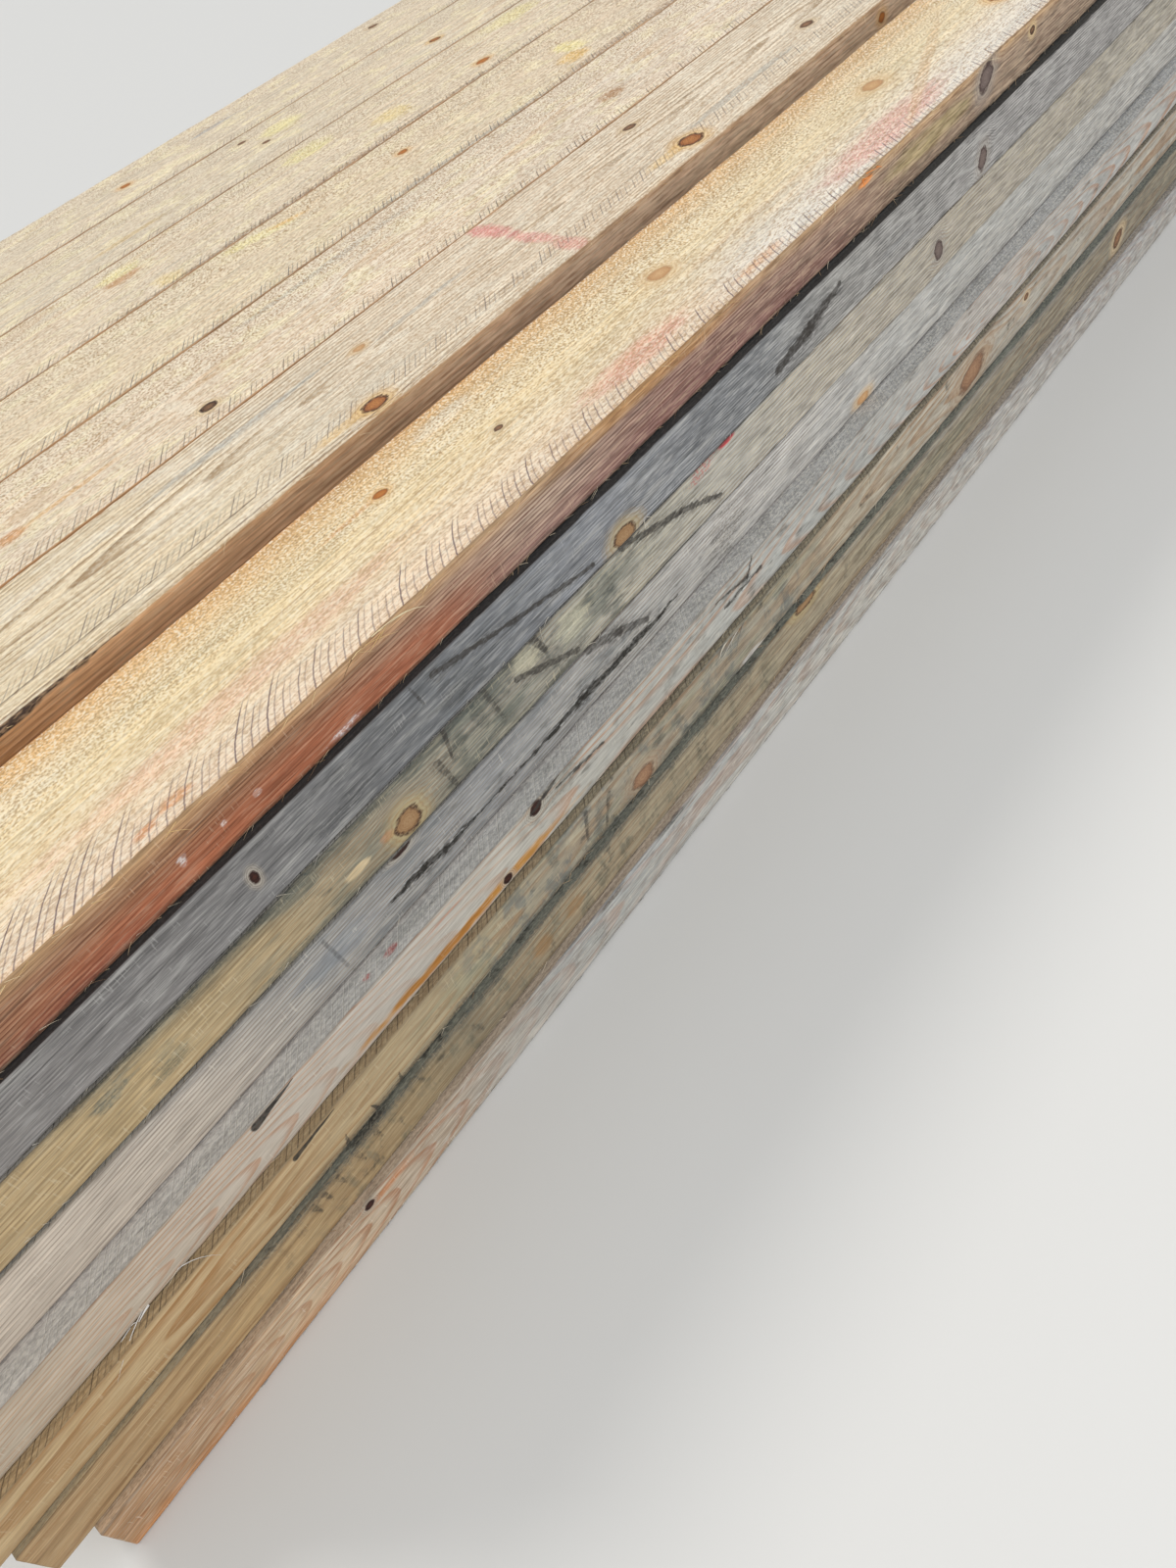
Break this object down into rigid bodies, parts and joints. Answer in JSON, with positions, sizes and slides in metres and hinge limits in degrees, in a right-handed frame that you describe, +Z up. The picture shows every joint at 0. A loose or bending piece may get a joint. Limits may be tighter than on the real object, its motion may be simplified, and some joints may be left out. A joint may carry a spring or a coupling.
{
  "type": "stack of sawn timber boards",
  "caption": "Close-piled stack of rough-sawn softwood boards laid flat in courses, with uneven sides and staggered ends.",
  "frame": {"origin": "centre of the stack on the floor, at the middle of its overall length and width", "axes": "+X along the boards, away from the end nearest the camera; +Z up; +Y towards the side where the top course reaches furthest out"},
  "size_m": [3.045, 1.1404, 0.3445],
  "materials": {
    "weathered_side_board_1": "rough-sawn softwood, pink-brown grain going grey and splintery",
    "weathered_side_board_2": "rough-sawn softwood, golden tan with blue-grey stain on its upper edge",
    "weathered_side_board_3": "rough-sawn softwood, golden tan with mottled blue-grey stain",
    "weathered_side_board_4": "rough-sawn softwood, cream with cathedral grain and a resin streak",
    "weathered_side_board_5": "rough-sawn softwood, pinkish grey with dark mould marks",
    "weathered_side_board_6": "rough-sawn softwood, tan with a large brown knot and grey-green mottling",
    "grey_side_board": "rough-sawn softwood, weathered blue-grey going to pale beige",
    "fresh_sawn_top": "fresh rough-sawn softwood, cream with fuzzy saw marks, knots and yellow patches"
  },
  "bodies": {
    "root": {"course_1": "weathered_side_board_1", "course_2": "weathered_side_board_2", "course_3": "weathered_side_board_3", "course_4": "weathered_side_board_4", "course_5": "weathered_side_board_5", "course_6": "weathered_side_board_6", "course_7": "grey_side_board", "course_8": "fresh_sawn_top"}
  },
  "joints": []
}
